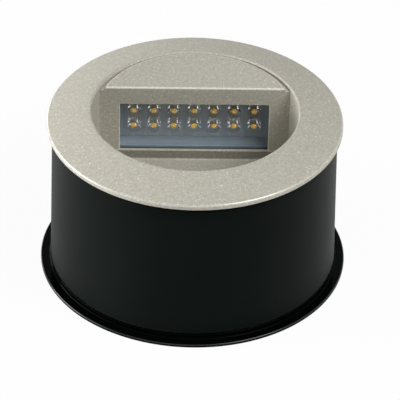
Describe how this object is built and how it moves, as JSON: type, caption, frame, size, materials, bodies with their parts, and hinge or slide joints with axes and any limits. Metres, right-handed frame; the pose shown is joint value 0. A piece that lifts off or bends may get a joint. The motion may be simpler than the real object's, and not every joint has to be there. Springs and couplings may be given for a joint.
{
  "type": "recessed spotlight",
  "caption": "Round recessed spotlight whose half-covered light pocket throws its beam to one side, held by leaf springs in a flanged mounting sleeve.",
  "frame": {"origin": "centre of the base flange's underside, where the light stands or the sleeve's closed end lies in the wall", "axes": "+Z out of the wall or floor, along the sleeve's axis to the trim ring; +Y from the light pocket towards the lamp chamber, so the light shines towards -Y; +X to the right seen from the pocket's side"},
  "size_m": [0.115, 0.115, 0.0668],
  "materials": {
    "champagne_paint": "fine-textured champagne silver metallic paint on die-cast aluminium",
    "satin_black": "satin black moulded plastic",
    "gloss_black": "glossy black moulded plastic",
    "black_rubber": "black cellular rubber and rubber mouldings",
    "grey_rubber": "dark grey silicone rubber",
    "clear_glass": "clear flat glass",
    "clear_resin": "water-clear epoxy over a yellow phosphor",
    "slate_board": "bluish-grey solder mask",
    "green_board": "green solder mask on glass-fibre laminate",
    "pad_grey": "soft grey heat-conducting pad",
    "zinc_steel": "zinc-plated screws",
    "spring_steel": "bright rolled stainless spring steel",
    "nickel_brass": "nickel-plated brass",
    "red_sleeving": "red wire insulation",
    "black_sleeving": "black wire insulation",
    "copper_winding": "enamelled copper on a ferrite core",
    "capacitor_sleeve": "blue shrink sleeve on an aluminium can",
    "yellow_case": "yellow moulded capacitor case",
    "grey_plastic": "dark moulded component case",
    "white_plastic": "white moulded terminal housing"
  },
  "bodies": {
    "mounting_box": {"base_flange": "gloss_black", "cable_grommet": "black_rubber", "mounting_sleeve": "satin_black"},
    "seal_ring": {"trim_gasket": "black_rubber"},
    "luminaire": {"trim_ring": "champagne_paint", "luminaire_housing": "champagne_paint", "hood": "champagne_paint", "window_gasket": "grey_rubber", "window_glass": "clear_glass", "spacer_frame": "slate_board", "led_board": "slate_board", "led_01": "clear_resin", "led_02": "clear_resin", "led_03": "clear_resin", "led_04": "clear_resin", "led_05": "clear_resin", "led_06": "clear_resin", "led_07": "clear_resin", "led_08": "clear_resin", "led_09": "clear_resin", "led_10": "clear_resin", "led_11": "clear_resin", "led_12": "clear_resin", "led_13": "clear_resin", "led_14": "clear_resin", "board_screw_1": "zinc_steel", "board_screw_2": "zinc_steel", "thermal_pad": "pad_grey", "trim_screw_1": "zinc_steel", "trim_screw_2": "zinc_steel", "trim_screw_3": "zinc_steel", "lead_red": "red_sleeving", "lead_black": "black_sleeving", "lead_grommet": "black_rubber", "rear_housing": "satin_black", "housing_seal": "grey_rubber", "rear_screw_1": "zinc_steel", "rear_screw_2": "zinc_steel", "rear_screw_3": "zinc_steel", "rear_screw_4": "zinc_steel", "driver_board": "green_board", "driver_screw_1": "zinc_steel", "driver_screw_2": "zinc_steel", "transformer": "copper_winding", "smoothing_capacitor": "capacitor_sleeve", "film_capacitor": "yellow_case", "bridge_rectifier": "grey_plastic", "terminal_block": "white_plastic", "gland_body": "nickel_brass", "gland_nut": "nickel_brass", "gland_seal": "grey_rubber", "gland_locknut": "nickel_brass", "spring_screw_1": "zinc_steel", "spring_screw_2": "zinc_steel", "spring_screw_3": "zinc_steel"},
    "spring_1": {"leaf_spring_1": "spring_steel"},
    "spring_2": {"leaf_spring_2": "spring_steel"},
    "spring_3": {"leaf_spring_3": "spring_steel"}
  },
  "joints": [
    {"name": "aiming_turn", "type": "hinge", "parent": "mounting_box", "child": "seal_ring", "pos_m": [0, 0, 0.06], "axis": [0, 0, 1], "range_deg": [-90, 90]},
    {"name": "lift_out", "type": "slide", "parent": "seal_ring", "child": "luminaire", "axis": [0, 0, 1], "range_m": [0, 0.062]},
    {"name": "spring_flex_1", "type": "hinge", "parent": "luminaire", "child": "spring_1", "pos_m": [0, -0.04175, 0.0272], "axis": [1, 0, 0], "range_deg": [0, 4], "stiffness_Nm_per_rad": 0.2},
    {"name": "spring_flex_2", "type": "hinge", "parent": "luminaire", "child": "spring_2", "pos_m": [0.03616, 0.02088, 0.0272], "axis": [-0.5, 0.866, 0], "range_deg": [0, 4], "stiffness_Nm_per_rad": 0.2},
    {"name": "spring_flex_3", "type": "hinge", "parent": "luminaire", "child": "spring_3", "pos_m": [-0.03616, 0.02088, 0.0272], "axis": [-0.5, -0.866, 0], "range_deg": [0, 4], "stiffness_Nm_per_rad": 0.2}
  ]
}
